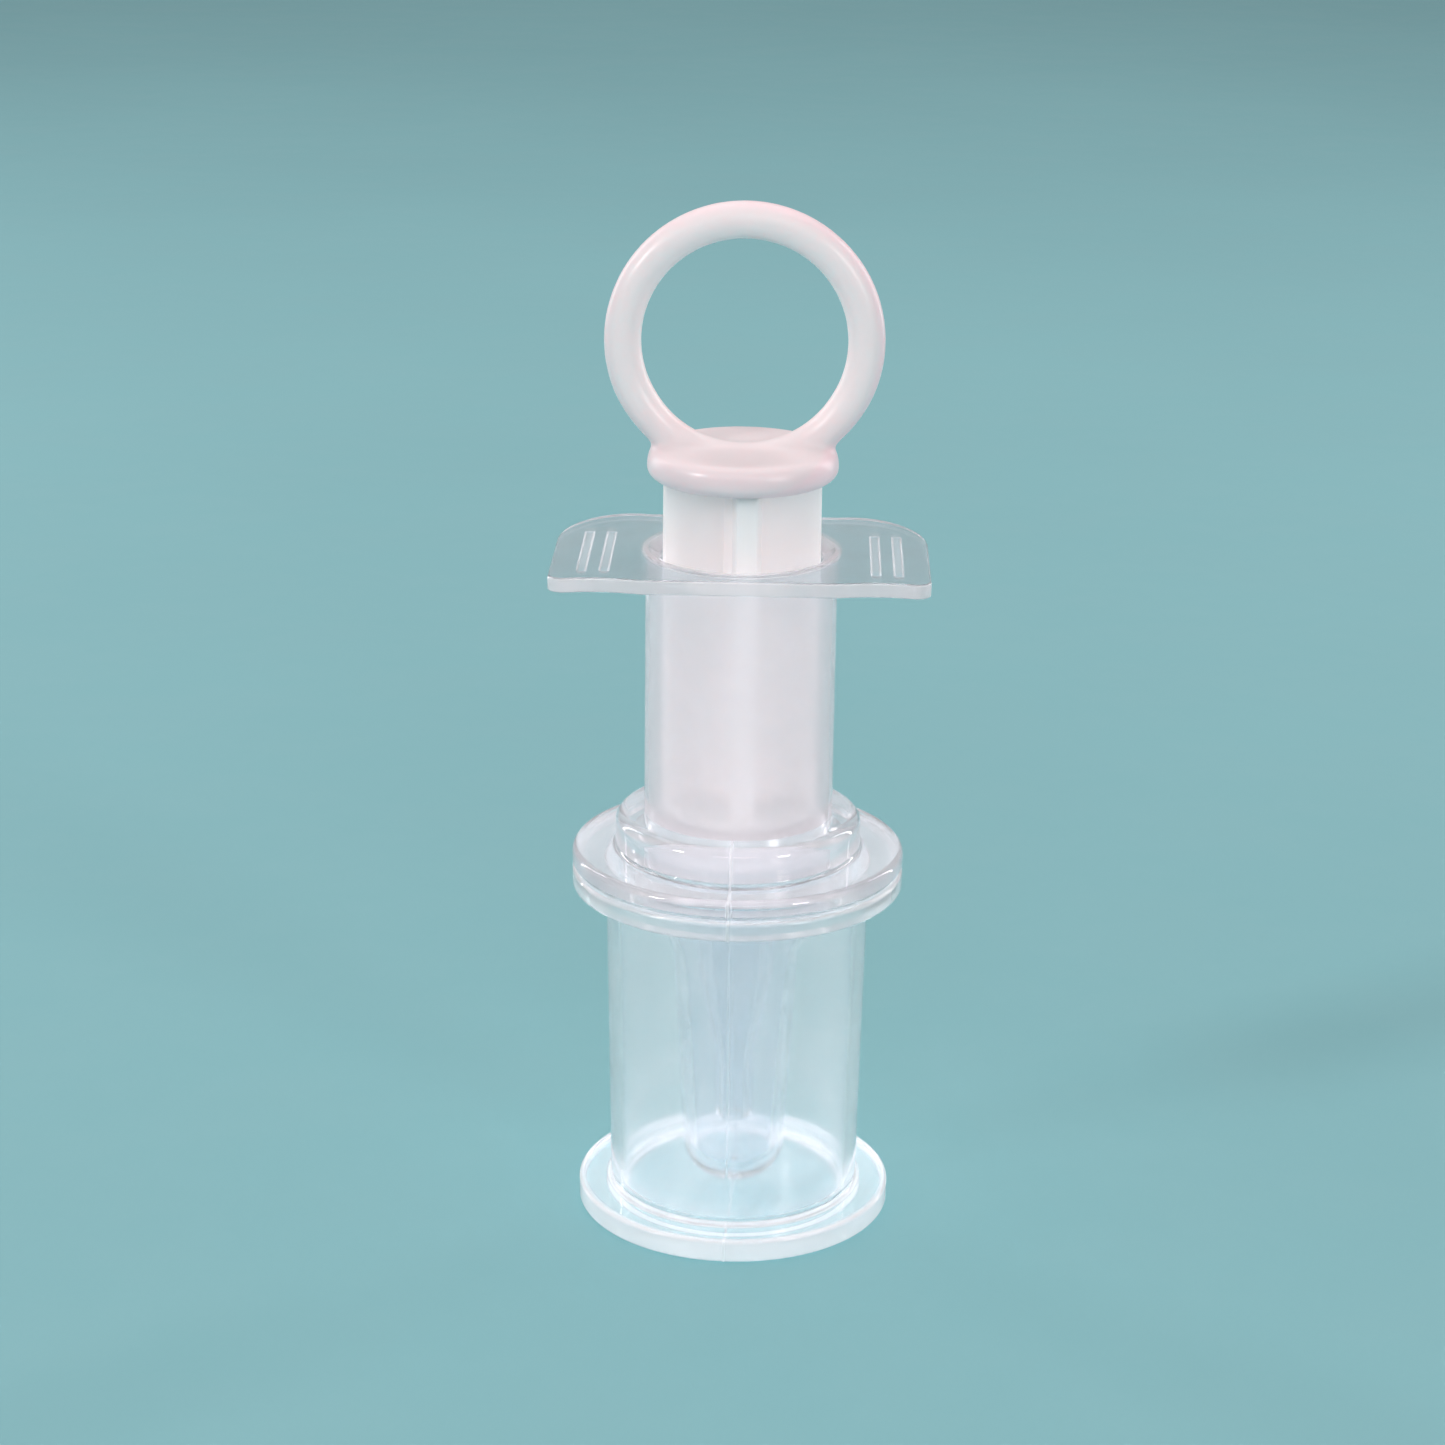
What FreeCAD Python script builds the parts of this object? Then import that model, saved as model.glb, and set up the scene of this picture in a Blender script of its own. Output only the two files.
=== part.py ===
import FreeCAD, Part
import math
import os

import Sketcher

# Pacifier-type oral syringe, standing teat-down in its cover cup.
# Millimetres, +Z up along the syringe's axis, origin at the centre of the cup's underside.
# X runs along the finger wings, and the pull ring lies in the XZ plane.

DIMENSIONS = [
    # cover cup
    ("cup_base_radius", 19.5, "foot disc"),
    ("cup_base_thick", 2.9, "foot disc"),
    ("cup_foot_radius", 15.45, "outside of the wall where it leaves the foot disc"),
    ("cup_mouth_radius", 16.15, "outside of the wall under the flange"),
    ("cup_wall", 1.5, "wall thickness"),
    ("cup_floor_height", 2.6, "inside floor above the table"),
    ("cup_flange_radius", 20.3, "flange round the mouth"),
    ("cup_flange_thick", 2.4, "flange round the mouth"),
    ("cup_height", 44.85, "top of the flange"),
    ("cup_edge_round", 0.5, "rounding of the disc and flange edges"),
    ("cup_floor_round", 1.6, "fillet round the inside floor"),
    # silicone nipple
    ("brim_radius", 20.3, "mouth shield"),
    ("brim_low", 45.0, "underside of the mouth shield"),
    ("brim_thick", 2.6, "mouth shield"),
    ("brim_round", 0.9, "rounding of the shield's edge"),
    ("collar_radius", 15.0, "collar that grips the barrel"),
    ("collar_top", 52.0, "top of the collar"),
    ("collar_round", 1.5, "rounding of the collar's top edge"),
    ("collar_lip_round", 0.5, "rounding of the socket's mouth"),
    ("collar_foot_round", 0.6, "fillet between collar and shield"),
    ("socket_floor", 46.0, "step that the barrel's end rests on"),
    ("socket_fit", 0.05, "radial clearance round the barrel"),
    ("register_radius", 14.5, "ring under the shield that centres it in the cup"),
    ("register_depth", 1.5, "ring under the shield"),
    ("teat_throat_radius", 12.9, "top of the flare under the shield"),
    ("teat_neck_radius", 7.75, "where the flare meets the teat"),
    ("teat_neck_height", 34.5, "where the flare meets the teat"),
    ("teat_flare_round", 9.0, "concave curve of the flare"),
    ("teat_tip_radius", 5.95, "teat's side carried down to the tip's level"),
    ("teat_tip_height", 3.2, "lowest point of the teat"),
    ("teat_tip_round", 4.6, "rounding of the tip"),
    ("teat_wall", 1.45, "silicone wall of the teat"),
    ("teat_tip_wall", 1.9, "silicone under the teat's chamber"),
    ("teat_chamber_round", 3.0, "rounding at the bottom of the chamber"),
    ("chamber_mouth_radius", 9.4, "top of the chamber, inside the step"),
    ("teat_hole_radius", 0.6, "medicine hole in the tip"),
    # barrel
    ("barrel_radius", 11.5, "outside of the tube"),
    ("bore_radius", 10.2, "inside of the tube"),
    ("barrel_low", 46.1, "underside of the barrel's end wall"),
    ("barrel_floor", 47.5, "inside of the barrel's end wall"),
    ("barrel_top", 85.1, "top of the finger flange"),
    ("barrel_foot_round", 0.5, "rounding of the barrel's lower edge"),
    ("funnel_radius", 11.2, "mouth of the lead-in at the top"),
    ("funnel_depth", 0.9, "lead-in"),
    ("lip_radius", 9.8, "retaining lip that stops the seal"),
    ("lip_height", 0.5, "straight part of the retaining lip"),
    ("lip_slope", 0.7, "height of the slope under the lip"),
    ("nozzle_root_radius", 4.6, "nozzle at the barrel's end wall"),
    ("nozzle_cone_top", 30.5, "where the nozzle starts to narrow"),
    ("nozzle_cone_radius", 4.4, "where the nozzle starts to narrow"),
    ("nozzle_neck_top", 20.0, "where the nozzle turns straight"),
    ("nozzle_neck_radius", 2.5, "where the nozzle turns straight"),
    ("nozzle_tip_height", 11.5, "nozzle's lower end"),
    ("nozzle_tip_radius", 2.3, "nozzle's lower end"),
    ("channel_radius", 1.2, "channel through the nozzle's tip"),
    ("channel_root_radius", 2.8, "channel at the end wall"),
    # finger flange
    ("wing_span", 44.6, "tip to tip"),
    ("wing_depth", 29.2, "front to back"),
    ("wing_thick", 1.8, "plate thickness"),
    ("wing_front_corner", 2.2, "corner radius at the front"),
    ("wing_back_corner", 11.0, "corner radius at the back"),
    ("wing_edge_round", 0.3, "rounding round the plate's edges"),
    ("grip_inner_place", 15.9, "centre of the inner grip rib from the axis"),
    ("grip_outer_place", 18.5, "centre of the outer grip rib from the axis"),
    ("grip_width", 1.2, "grip rib"),
    ("grip_height", 0.35, "grip rib below the plate"),
    ("grip_front", 10.2, "front end of a grip rib from the axis"),
    ("grip_back", 7.0, "back end of a grip rib from the axis"),
    # piston seal
    ("seal_low", 47.7, "flat face of the seal"),
    ("seal_height", 4.1, "face to rear"),
    ("seal_fit", 0.05, "radial clearance in the bore"),
    ("seal_waist_radius", 9.5, "waist between the two lips"),
    ("seal_lip_height", 1.1, "each sealing lip"),
    ("seal_lip_slope", 0.4, "slope from lip to waist"),
    ("seal_face_chamfer", 0.35, "chamfer round the face"),
    # plunger rod
    ("stud_radius", 3.0, "neck of the stud that holds the seal"),
    ("stud_head_radius", 4.6, "head of the stud"),
    ("stud_head_height", 1.2, "head of the stud"),
    ("stud_cover", 1.1, "silicone under the stud's head"),
    ("stud_fit", 0.05, "clearance of the stud in the seal"),
    ("end_disc_radius", 9.3, "disc above the seal"),
    ("end_disc_thick", 1.6, "disc above the seal"),
    ("end_disc_chamfer", 0.8, "lower edge of the disc"),
    ("fin_reach", 9.39, "axis to fin tip"),
    ("fin_thick", 2.6, "fin thickness"),
    ("fin_turn", 5.0, "turn of the fins about the axis, degrees"),
    ("fin_edge_round", 0.35, "rounding of the fins' long edges"),
    ("rod_top", 93.8, "top of the fins"),
    ("spigot_radius", 7.6, "round spigot that the pull ring is pressed on"),
    ("spigot_height", 2.2, "round spigot"),
    ("spigot_core_radius", 2.6, "cone between the fins that carries the spigot"),
    # pull ring
    ("cap_low", 93.8, "underside of the cap"),
    ("cap_foot_round", 1.65, "rounding under the cap"),
    ("cap_bead_low", 95.6, "where the cap starts to taper"),
    ("cap_bead_radius", 11.45, "bead round the cap"),
    ("cap_rim_height", 97.4, "top of the cap"),
    ("cap_rim_radius", 11.25, "top of the cap"),
    ("cap_top_round", 1.2, "rounding of the cap's top edge"),
    ("spigot_press", 0.02, "press-fit overlap on the spigot"),
    ("ring_centre_height", 110.2, "centre of the finger hole"),
    ("ring_radius", 14.3, "centre line of the ring"),
    ("ring_tube_radius", 2.2, "section of the ring"),
]

PARTS_FOLDER = "parts"
TOLERANCE = 1e-4
LONG_EDGE_SHARE = 0.8
OUTER_EDGE_SHARE = 0.9

doc = FreeCAD.newDocument("OralSyringe")
sheet = doc.addObject("Spreadsheet::Sheet", "Dimensions")
for row, (alias, number, note) in enumerate(DIMENSIONS, start=1):
    sheet.set(f"A{row}", alias)
    sheet.set(f"B{row}", str(number))
    sheet.setAlias(f"B{row}", alias)
    sheet.set(f"C{row}", note)
doc.recompute()


class Size:
    """A length that carries its value and the sheet expression that gives it."""

    def __init__(self, value, text):
        self.value = value
        self.text = text

    def join(self, other, sign, value):
        return Size(value, f"({self.text} {sign} {other.text})")

    def __add__(self, other):
        return self.join(other, "+", self.value + other.value)

    def __sub__(self, other):
        return self.join(other, "-", self.value - other.value)

    def __neg__(self):
        return Size(-self.value, f"(-{self.text})")

    def half(self):
        return Size(self.value / 2, f"({self.text} / 2)")


def size(alias):
    """The sheet's dimension of that name."""
    return Size(float(sheet.get(alias)), f"{sheet.Name}.{alias}")


ZERO = Size(0.0, "0")


# ---------------------------------------------------------------- sketches

def new_body(label):
    """An empty body whose label is the sub-part's name."""
    body = doc.addObject("PartDesign::Body", label)
    body.Label = label
    return body


def new_sketch(body, name, plane_role, height=None):
    """A sketch on one of the body's own origin planes, raised along its normal if asked."""
    sketch = body.newObject("Sketcher::SketchObject", name)
    plane = next(item for item in body.Origin.OriginFeatures if item.Role == plane_role)
    sketch.AttachmentSupport = [(plane, "")]
    sketch.MapMode = "FlatFace"
    if height is not None:
        sketch.setExpression("AttachmentOffset.Base.z", height.text)
    return sketch


def bind_distance(sketch, kind, element, point, distance, name):
    """Hold one coordinate of a sketch point at a sheet dimension."""
    index = sketch.addConstraint(
        Sketcher.Constraint(kind, -1, 1, element, point, distance.value))
    sketch.renameConstraint(index, name)
    sketch.setExpression(f"Constraints.{name}", distance.text)


def add_outline(sketch, name, corners):
    """Add a closed outline of straight lines through (across, up) corners bound to the sheet."""
    first = len(sketch.Geometry)
    count = len(corners)
    points = [FreeCAD.Vector(across.value, up.value, 0) for across, up in corners]
    for index, start in enumerate(points):
        sketch.addGeometry(Part.LineSegment(start, points[(index + 1) % count]), False)
    for index, (across, up) in enumerate(corners):
        line = first + index
        following = first + (index + 1) % count
        sketch.addConstraint(Sketcher.Constraint("Coincident", line, 2, following, 1))
        bind_distance(sketch, "DistanceX", line, 1, across, f"{name}_across_{index}")
        bind_distance(sketch, "DistanceY", line, 1, up, f"{name}_up_{index}")


def add_rectangle(sketch, name, left, right, near, far):
    """Add a rectangle with its sides bound to the sheet."""
    add_outline(sketch, name, [(left, near), (right, near), (right, far), (left, far)])


# ---------------------------------------------------------------- features

def turn(body, name, corners, cut=False):
    """Revolve an outline of (radius, height) corners about the Z axis, as material or as a cut."""
    sketch = new_sketch(body, f"{name}_outline", "XZ_Plane")
    add_outline(sketch, name, corners)
    kind = "PartDesign::Groove" if cut else "PartDesign::Revolution"
    before = body.Shape.Volume if cut else 0.0
    feature = body.newObject(kind, name)
    feature.Profile = sketch
    feature.ReferenceAxis = (sketch, ["V_Axis"])
    feature.Angle = 360.0
    body.Tip = feature
    doc.recompute()
    if cut:
        assert feature.Shape.Volume < before - TOLERANCE, f"{name} cuts nothing"
    return feature


def rims(feature, places):
    """Names of the circular edges centred on the Z axis at the given (radius, height) places."""
    names = []
    for index, edge in enumerate(feature.Shape.Edges, start=1):
        curve = edge.Curve
        if not isinstance(curve, Part.Circle):
            continue
        for radius, height in places:
            same_radius = abs(curve.Radius - radius.value) < TOLERANCE
            same_height = abs(curve.Center.z - height.value) < TOLERANCE
            if same_radius and same_height:
                names.append(f"Edge{index}")
    assert len(names) == len(places), f"{feature.Label}: {len(names)} of {len(places)} rims found"
    return names


def round_edges(body, feature, name, edge_names, radius):
    """Fillet the named edges of the body's last feature."""
    fillet = body.newObject("PartDesign::Fillet", name)
    fillet.Base = (feature, edge_names)
    fillet.setExpression("Radius", radius.text)
    body.Tip = fillet
    doc.recompute()
    return fillet


def round_rims(body, feature, name, places, radius):
    """Fillet circular edges given by their (radius, height)."""
    return round_edges(body, feature, name, rims(feature, places), radius)


def pad(body, name, sketch, length, reverse=False, middle=False):
    """Pad a sketch by a sheet dimension."""
    feature = body.newObject("PartDesign::Pad", name)
    feature.Profile = sketch
    feature.setExpression("Length", length.text)
    feature.Reversed = reverse
    feature.Midplane = middle
    body.Tip = feature
    doc.recompute()
    return feature


# ---------------------------------------------------------------- sub-parts

def make_cover_cup():
    """Clear cup with a foot disc and a flange that the mouth shield rests on."""
    body = new_body("cover_cup")
    base_r = size("cup_base_radius")
    base_top = size("cup_base_thick")
    foot_r = size("cup_foot_radius")
    mouth_r = size("cup_mouth_radius")
    flange_r = size("cup_flange_radius")
    top = size("cup_height")
    flange_low = top - size("cup_flange_thick")
    wall = size("cup_wall")
    floor = size("cup_floor_height")
    shell = turn(body, "cup_shell", [
        (ZERO, ZERO),
        (base_r, ZERO),
        (base_r, base_top),
        (foot_r, base_top),
        (mouth_r, flange_low),
        (flange_r, flange_low),
        (flange_r, top),
        (mouth_r - wall, top),
        (foot_r - wall, floor),
        (ZERO, floor),
    ])
    edges = [(base_r, ZERO), (base_r, base_top), (flange_r, flange_low), (flange_r, top)]
    soft = round_rims(body, shell, "cup_edges", edges, size("cup_edge_round"))
    corners = [(foot_r, base_top), (mouth_r, flange_low), (mouth_r - wall, top)]
    soft = round_rims(body, soft, "cup_corners", corners, size("cup_edge_round").half())
    round_rims(body, soft, "cup_floor_corner", [(foot_r - wall, floor)], size("cup_floor_round"))
    return body


def make_nipple():
    """Silicone nipple: collar, mouth shield and hollow teat moulded in one."""
    body = new_body("nipple")
    brim_r = size("brim_radius")
    brim_low = size("brim_low")
    brim_top = brim_low + size("brim_thick")
    collar_r = size("collar_radius")
    collar_top = size("collar_top")
    socket_r = size("barrel_radius") + size("socket_fit")
    socket_floor = size("socket_floor")
    register_r = size("register_radius")
    register_low = brim_low - size("register_depth")
    throat_r = size("teat_throat_radius")
    neck_r = size("teat_neck_radius")
    neck_z = size("teat_neck_height")
    tip_r = size("teat_tip_radius")
    tip_z = size("teat_tip_height")
    wall = size("teat_wall")
    chamber_z = tip_z + size("teat_tip_wall")
    hole_r = size("teat_hole_radius")
    mouth_r = size("chamber_mouth_radius")
    shell = turn(body, "nipple_shell", [
        (hole_r, tip_z),
        (tip_r, tip_z),
        (neck_r, neck_z),
        (throat_r, register_low),
        (register_r, register_low),
        (register_r, brim_low),
        (brim_r, brim_low),
        (brim_r, brim_top),
        (collar_r, brim_top),
        (collar_r, collar_top),
        (socket_r, collar_top),
        (socket_r, socket_floor),
        (mouth_r, socket_floor),
        (neck_r - wall, neck_z),
        (tip_r - wall, chamber_z),
        (hole_r, chamber_z),
    ])
    soft = round_rims(body, shell, "teat_tip", [(tip_r, tip_z)], size("teat_tip_round"))
    flare = [(neck_r, neck_z), (neck_r - wall, neck_z)]
    soft = round_rims(body, soft, "teat_flare", flare, size("teat_flare_round"))
    chamber = [(tip_r - wall, chamber_z)]
    soft = round_rims(body, soft, "teat_chamber", chamber, size("teat_chamber_round"))
    brim = [(brim_r, brim_low), (brim_r, brim_top)]
    soft = round_rims(body, soft, "brim_edges", brim, size("brim_round"))
    soft = round_rims(body, soft, "collar_edge", [(collar_r, collar_top)], size("collar_round"))
    lip = [(socket_r, collar_top)]
    soft = round_rims(body, soft, "collar_lip", lip, size("collar_lip_round"))
    round_rims(body, soft, "collar_foot", [(collar_r, brim_top)], size("collar_foot_round"))
    return body


def upright_edges(feature, across, along):
    """Names of the straight Z edges at the given distances from the axis."""
    names = []
    for index, edge in enumerate(feature.Shape.Edges, start=1):
        middle = edge.CenterOfMass
        upright = abs(edge.tangentAt(edge.FirstParameter).z) > 1 - TOLERANCE
        placed = abs(abs(middle.x) - across) < TOLERANCE and abs(middle.y - along) < TOLERANCE
        if upright and placed:
            names.append(f"Edge{index}")
    return names


def level_edges(feature):
    """Names of the edges that lie level, round the top and the bottom of a plate."""
    names = []
    for index, edge in enumerate(feature.Shape.Edges, start=1):
        if abs(edge.tangentAt(edge.FirstParameter).z) < TOLERANCE:
            names.append(f"Edge{index}")
    return names


def make_wing_plate(body):
    """The finger flange: a plate with nearly square front corners and wide back corners."""
    tip_x = size("wing_span").half()
    edge_y = size("wing_depth").half()
    outline = new_sketch(body, "wing_outline", "XY_Plane", size("barrel_top"))
    add_rectangle(outline, "wing", -tip_x, tip_x, -edge_y, edge_y)
    plate = pad(body, "wing_plate", outline, size("wing_thick"), reverse=True)
    front = upright_edges(plate, tip_x.value, -edge_y.value)
    soft = round_edges(body, plate, "front_corners", front, size("wing_front_corner"))
    back = upright_edges(soft, tip_x.value, edge_y.value)
    soft = round_edges(body, soft, "back_corners", back, size("wing_back_corner"))
    round_edges(body, soft, "plate_edges", level_edges(soft), size("wing_edge_round"))


def make_barrel():
    """Clear tube with an end wall and nozzle, a retaining lip and a finger flange."""
    body = new_body("barrel")
    make_wing_plate(body)
    top = size("barrel_top")
    outer_r = size("barrel_radius")
    low = size("barrel_low")
    tip_z = size("nozzle_tip_height")
    tube = turn(body, "tube", [
        (ZERO, tip_z),
        (size("nozzle_tip_radius"), tip_z),
        (size("nozzle_neck_radius"), size("nozzle_neck_top")),
        (size("nozzle_cone_radius"), size("nozzle_cone_top")),
        (size("nozzle_root_radius"), low),
        (outer_r, low),
        (outer_r, top),
        (ZERO, top),
    ])
    round_rims(body, tube, "tube_foot", [(outer_r, low)], size("barrel_foot_round"))

    bore_r = size("bore_radius")
    floor = size("barrel_floor")
    lip_r = size("lip_radius")
    lip_top = top - size("funnel_depth")
    lip_low = lip_top - size("lip_height")
    channel_r = size("channel_radius")
    above = top + size("funnel_depth")
    below = tip_z - size("funnel_depth")
    turn(body, "bore", [
        (ZERO, below),
        (channel_r, below),
        (channel_r, size("nozzle_neck_top")),
        (size("channel_root_radius"), size("nozzle_cone_top")),
        (size("channel_root_radius"), floor),
        (bore_r, floor),
        (bore_r, lip_low - size("lip_slope")),
        (lip_r, lip_low),
        (lip_r, lip_top),
        (size("funnel_radius"), top),
        (size("funnel_radius"), above),
        (ZERO, above),
    ], cut=True)

    grips = new_sketch(body, "grip_outline", "XY_Plane", top - size("wing_thick").half())
    half_width = size("grip_width").half()
    for side, place in enumerate([size("grip_inner_place"), size("grip_outer_place")]):
        for mirror, centre in enumerate([place, -place]):
            add_rectangle(grips, f"grip_{side}_{mirror}", centre - half_width,
                          centre + half_width, -size("grip_front"), size("grip_back"))
    rib_drop = size("wing_thick").half() + size("grip_height")
    pad(body, "grip_ribs", grips, rib_drop, reverse=True)
    return body


def make_piston_seal():
    """Silicone stopper with two sealing lips and a socket for the rod's stud."""
    body = new_body("piston_seal")
    low = size("seal_low")
    top = low + size("seal_height")
    lip_r = size("bore_radius") - size("seal_fit")
    waist_r = size("seal_waist_radius")
    lip = size("seal_lip_height")
    slope = size("seal_lip_slope")
    chamfer = size("seal_face_chamfer")
    fit = size("stud_fit")
    head_low = low + size("stud_cover")
    head_top = head_low + size("stud_head_height") + fit + fit
    turn(body, "seal_shell", [
        (ZERO, low),
        (lip_r - chamfer, low),
        (lip_r, low + chamfer),
        (lip_r, low + lip),
        (waist_r, low + lip + slope),
        (waist_r, top - lip - slope),
        (lip_r, top - lip),
        (lip_r, top),
        (size("stud_radius") + fit, top),
        (size("stud_radius") + fit, head_top),
        (size("stud_head_radius") + fit, head_top),
        (size("stud_head_radius") + fit, head_low),
        (ZERO, head_low),
    ])
    return body


def add_cross(sketch, reach, near):
    """Add a plus sign with arms of the given reach and half thickness."""
    corners = [
        (reach, -near), (reach, near), (near, near), (near, reach),
        (-near, reach), (-near, near), (-reach, near), (-reach, -near),
        (-near, -near), (-near, -reach), (near, -reach), (near, -near),
    ]
    add_outline(sketch, "cross", corners)


def fin_edges(feature, low, high):
    """Names of the long upright edges at the fins' tips."""
    long_enough = (high - low) * LONG_EDGE_SHARE
    far_enough = size("fin_reach").value * OUTER_EDGE_SHARE
    names = []
    for index, edge in enumerate(feature.Shape.Edges, start=1):
        middle = edge.CenterOfMass
        if edge.Length > long_enough and math.hypot(middle.x, middle.y) > far_enough:
            names.append(f"Edge{index}")
    return names


def make_plunger_rod():
    """Rod of cross section with an end disc and stud below and a round spigot above."""
    body = new_body("plunger_rod")
    fit = size("stud_fit")
    seal_top = size("seal_low") + size("seal_height")
    disc_low = seal_top + fit
    disc_top = disc_low + size("end_disc_thick")
    rod_top = size("rod_top")
    cross = new_sketch(body, "fin_section", "XY_Plane", disc_low + size("end_disc_thick").half())
    add_cross(cross, size("fin_reach"), size("fin_thick").half())
    cross.setExpression("AttachmentOffset.Rotation.Angle", size("fin_turn").text)
    fin_length = rod_top - disc_low - size("end_disc_thick").half()
    fins = pad(body, "fins", cross, fin_length)
    tips = fin_edges(fins, disc_top.value, rod_top.value)
    round_edges(body, fins, "fin_tips", tips, size("fin_edge_round"))

    head_low = size("seal_low") + size("stud_cover") + fit
    head_top = head_low + size("stud_head_height")
    chamfer = size("end_disc_chamfer")
    disc_r = size("end_disc_radius")
    turn(body, "end_disc", [
        (ZERO, head_low),
        (size("stud_head_radius"), head_low),
        (size("stud_head_radius"), head_top),
        (size("stud_radius"), head_top),
        (size("stud_radius"), disc_low),
        (disc_r - chamfer, disc_low),
        (disc_r, disc_low + chamfer),
        (disc_r, disc_top),
        (ZERO, disc_top),
    ])
    spigot_top = rod_top + size("spigot_height")
    turn(body, "spigot", [
        (ZERO, disc_top),
        (size("spigot_core_radius"), disc_top),
        (size("spigot_core_radius"), rod_top - size("spigot_height")),
        (size("spigot_radius"), rod_top),
        (size("spigot_radius"), spigot_top),
        (ZERO, spigot_top),
    ])
    return body


def make_pull_ring():
    """Finger ring standing on a round cap that is pressed on the rod's spigot."""
    body = new_body("pull_ring")
    low = size("cap_low")
    socket_r = size("spigot_radius") - size("spigot_press")
    socket_top = size("rod_top") + size("spigot_height")
    bead_r = size("cap_bead_radius")
    bead_low = size("cap_bead_low")
    rim_r = size("cap_rim_radius")
    rim_z = size("cap_rim_height")
    cap = turn(body, "cap", [
        (ZERO, low),
        (bead_r, low),
        (bead_r, bead_low),
        (rim_r, rim_z),
        (ZERO, rim_z),
    ])
    soft = round_rims(body, cap, "cap_foot", [(bead_r, low)], size("cap_foot_round"))
    round_rims(body, soft, "cap_top", [(rim_r, rim_z)], size("cap_top_round"))

    section = new_sketch(body, "ring_section", "YZ_Plane")
    centre_z = size("ring_centre_height")
    top_z = centre_z + size("ring_radius")
    circle = Part.Circle(FreeCAD.Vector(0, top_z.value, 0), FreeCAD.Vector(0, 0, 1),
                         size("ring_tube_radius").value)
    element = section.addGeometry(circle, False)
    section.addConstraint(Sketcher.Constraint("PointOnObject", element, 3, -2))
    bind_distance(section, "DistanceY", element, 3, top_z, "ring_top")
    held = section.addConstraint(
        Sketcher.Constraint("Radius", element, size("ring_tube_radius").value))
    section.renameConstraint(held, "tube")
    section.setExpression("Constraints.tube", size("ring_tube_radius").text)
    reach = size("ring_tube_radius")
    axle = Part.LineSegment(FreeCAD.Vector(-reach.value, centre_z.value, 0),
                            FreeCAD.Vector(reach.value, centre_z.value, 0))
    line = section.addGeometry(axle, True)
    bind_distance(section, "DistanceX", line, 1, -reach, "axle_left")
    bind_distance(section, "DistanceX", line, 2, reach, "axle_right")
    bind_distance(section, "DistanceY", line, 1, centre_z, "axle_left_height")
    bind_distance(section, "DistanceY", line, 2, centre_z, "axle_right_height")
    ring = body.newObject("PartDesign::Revolution", "ring")
    ring.Profile = section
    ring.ReferenceAxis = (section, ["Axis0"])
    ring.Angle = 360.0
    body.Tip = ring
    doc.recompute()

    below = low - size("spigot_height")
    turn(body, "socket", [
        (ZERO, below),
        (socket_r, below),
        (socket_r, socket_top),
        (ZERO, socket_top),
    ], cut=True)
    return body


# ---------------------------------------------------------------- writing

def check_document(bodies):
    """Stop if any feature failed or any sub-part has no sound solid."""
    doc.recompute()
    for item in doc.Objects:
        bad = {"Invalid", "Error"} & set(item.State)
        assert not bad, f"{item.Name} is {bad}"
    for body in bodies:
        shape = body.Shape
        assert not shape.isNull(), f"{body.Label} is empty"
        assert shape.isValid(), f"{body.Label} is not valid"
        assert len(shape.Solids) == 1, f"{body.Label} has {len(shape.Solids)} solids"


def main():
    """Build every sub-part and write one STEP file for each."""
    bodies = [
        make_cover_cup(),
        make_nipple(),
        make_barrel(),
        make_piston_seal(),
        make_plunger_rod(),
        make_pull_ring(),
    ]
    check_document(bodies)
    os.makedirs(PARTS_FOLDER, exist_ok=True)
    for body in bodies:
        body.Shape.exportStep(f"{PARTS_FOLDER}/{body.Label}.step")
        box = body.Shape.optimalBoundingBox()
        print(f"{body.Label}: {body.Shape.Volume:.1f} mm3, z {box.ZMin:.2f} to {box.ZMax:.2f}")


main()
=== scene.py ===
import math

import bmesh
import bpy
from mathutils import Matrix, Vector


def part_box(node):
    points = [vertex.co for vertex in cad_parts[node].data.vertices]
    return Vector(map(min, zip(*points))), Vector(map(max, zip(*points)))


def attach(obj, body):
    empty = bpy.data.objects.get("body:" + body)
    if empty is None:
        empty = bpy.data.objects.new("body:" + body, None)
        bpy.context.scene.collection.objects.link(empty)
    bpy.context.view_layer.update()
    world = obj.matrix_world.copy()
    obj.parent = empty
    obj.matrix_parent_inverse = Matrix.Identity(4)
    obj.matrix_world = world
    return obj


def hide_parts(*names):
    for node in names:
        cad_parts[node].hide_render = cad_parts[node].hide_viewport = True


# Pacifier-type oral syringe standing teat-down in its cover cup. Metres, +Z up.
# X runs along the finger wings and the camera looks along +Y.

MM = 0.001

ARC_STEP = math.radians(9)
LATHE_COLUMNS = 180
HARD_CORNER = math.radians(38)
FLAT_FACE_WEIGHT = 60

# The cup and the nipple have mould seams up their front and back, as low ridges on faces
# whose outward normal has at least this share along the radius.
SEAM_ANGLE = math.radians(-92)
SEAMS = (SEAM_ANGLE, SEAM_ANGLE + math.pi)
SEAM_HEIGHT = 0.08 * MM
SEAM_HALF_ANGLE = 0.012
SEAM_FACE_SHARE = 0.6

CUP_BASE_R = 19.5 * MM
CUP_BASE_TOP = 2.9 * MM
CUP_FOOT_R = 15.45 * MM

BARREL_R = 11.5 * MM
BORE_R = 10.2 * MM
BARREL_END = 46.1 * MM
WING_THICK = 1.8 * MM
RIB_PLACES = (15.9 * MM, 18.5 * MM)
RIB_WIDTH = 1.2 * MM
RIB_FRONT = -10.2 * MM
RIB_BACK = 7.0 * MM

RING_CENTRE_Z = 110.2 * MM
RING_R = 14.3 * MM
RING_TUBE_R = 2.2 * MM

POLYPROPYLENE_IOR = 1.49
SILICONE_IOR = 1.41

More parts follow.
